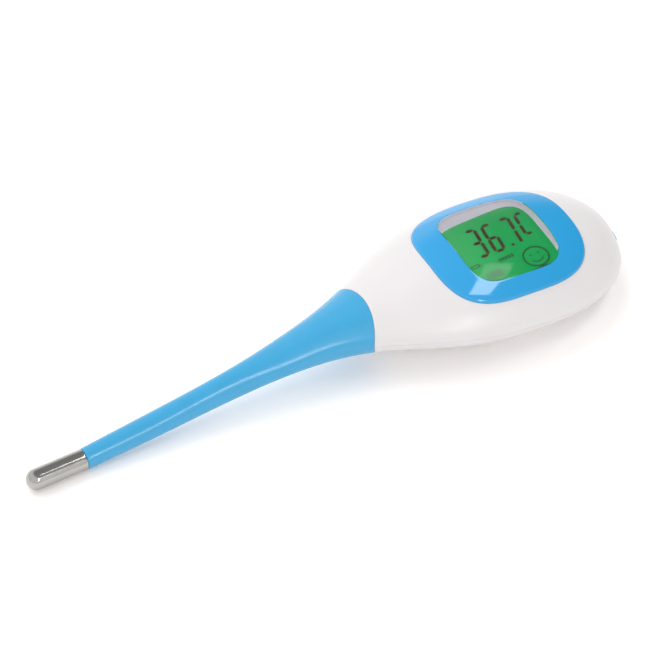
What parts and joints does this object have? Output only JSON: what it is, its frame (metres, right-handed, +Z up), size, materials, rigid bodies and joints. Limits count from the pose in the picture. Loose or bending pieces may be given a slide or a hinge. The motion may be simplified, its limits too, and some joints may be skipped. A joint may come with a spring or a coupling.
{
  "type": "digital thermometer",
  "caption": "Stick thermometer with a soft flexible stem, metal probe tip, wide oval head, blue-framed backlit display, end button and coin-turned battery cover.",
  "frame": {"origin": "centre of the footprint, on the surface the thermometer lies on", "axes": "+X from the probe tip to the power button, +Y across the head, +Z up through the display window"},
  "size_m": [0.1398, 0.039, 0.0195],
  "materials": {
    "housing_white": "satin moulded plastic",
    "bezel_blue": "gloss",
    "stem_blue": "satin soft elastomer",
    "window_clear": "gloss",
    "lcd_green": "backlit",
    "inner_grey": "matte",
    "inner_white": "matte",
    "seal_rubber": "matte",
    "seal_silicone": "matte",
    "board_green": "satin",
    "black_epoxy": "satin",
    "black_plastic": "matte",
    "red_plastic": "satin",
    "capacitor_tan": "matte",
    "buzzer_white": "matte",
    "brass": "satin",
    "steel": "bright",
    "nickel": "bright"
  },
  "bodies": {
    "housing": {"backlight_led_1": "inner_white", "backlight_led_2": "inner_white", "backlight_led_3": "inner_white", "battery_contact_minus": "nickel", "battery_contact_plus": "nickel", "board_screw_1": "steel", "board_screw_2": "steel", "board_screw_3": "steel", "board_screw_4": "steel", "button_seal": "seal_silicone", "buzzer_ceramic": "buzzer_white", "buzzer_plate": "brass", "buzzer_spring_1": "steel", "buzzer_spring_2": "steel", "capacitor_1": "capacitor_tan", "capacitor_2": "capacitor_tan", "chip_blob": "black_epoxy", "coin_cell": "nickel", "crystal_can": "nickel", "display_bezel": "bezel_blue", "display_lens": "window_clear", "lcd_frame": "inner_grey", "lcd_glass": "lcd_green", "lead_wire_black": "black_plastic", "lead_wire_red": "red_plastic", "light_guide": "inner_white", "lower_housing": "housing_white", "main_board": "board_green", "neck_seal": "seal_rubber", "reference_resistor": "black_plastic", "reflector_film": "inner_white", "stem_core": "inner_white", "stem_neck": "stem_blue", "tact_switch_body": "black_plastic", "upper_housing": "housing_white", "zebra_strip": "seal_rubber"},
    "power_button": {"power_button": "bezel_blue", "switch_plunger": "inner_white"},
    "battery_cover": {"battery_cover": "housing_white", "cover_seal": "seal_rubber"},
    "stem_mid": {"stem_mid": "stem_blue"},
    "stem_front": {"stem_front": "stem_blue", "metal_tip": "steel", "tip_filler": "black_epoxy", "thermistor_bead": "black_epoxy"}
  },
  "joints": [
    {"name": "power_button_press", "type": "slide", "parent": "housing", "child": "power_button", "axis": [-1, 0, 0], "range_m": [0, 0.0005], "stiffness_N_per_m": 900},
    {"name": "battery_cover_turn", "type": "hinge", "parent": "housing", "child": "battery_cover", "pos_m": [0.043, 0, 0.0015], "axis": [0, 0, -1], "range_deg": [0, 45]},
    {"name": "stem_bend_sideways", "type": "hinge", "parent": "housing", "child": "stem_mid", "pos_m": [-0.018, 0, 0.00677], "axis": [0, 0, 1], "range_deg": [-30, 30], "stiffness_Nm_per_rad": 0.06, "deforming": ["lead_wire_red", "lead_wire_black"]},
    {"name": "stem_bend_up_down", "type": "hinge", "parent": "stem_mid", "child": "stem_front", "pos_m": [-0.036, 0, 0.00446], "axis": [0, 1, 0], "range_deg": [-30, 30], "stiffness_Nm_per_rad": 0.06, "deforming": ["lead_wire_red", "lead_wire_black"]}
  ]
}
